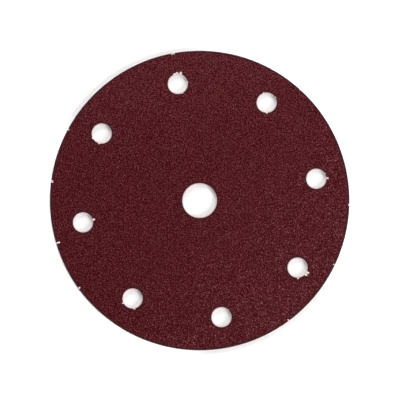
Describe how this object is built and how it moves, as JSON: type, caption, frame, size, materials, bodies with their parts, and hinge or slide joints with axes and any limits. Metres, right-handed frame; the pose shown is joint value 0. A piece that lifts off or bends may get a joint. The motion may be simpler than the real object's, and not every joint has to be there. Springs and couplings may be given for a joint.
{
  "type": "hook and loop sanding disc",
  "caption": "Round sanding disc, dark red grain on a paper backing with a loop fabric below, punched with a ring of dust holes and a larger centre hole.",
  "frame": {"origin": "centre of the disc on the loop face, which lies on the floor", "axes": "+Z up, from the loop face to the grain face; +X to the right in the picture and +Y up, with the first dust hole 10.6 degrees from +X"},
  "size_m": [0.15, 0.15, 0.0015],
  "materials": {
    "loops": "napped",
    "paper": "matt",
    "grain": "gritty"
  },
  "bodies": {
    "root": {"loop_fabric": "loops", "paper_backing": "paper", "abrasive_coat": "grain"}
  },
  "joints": []
}
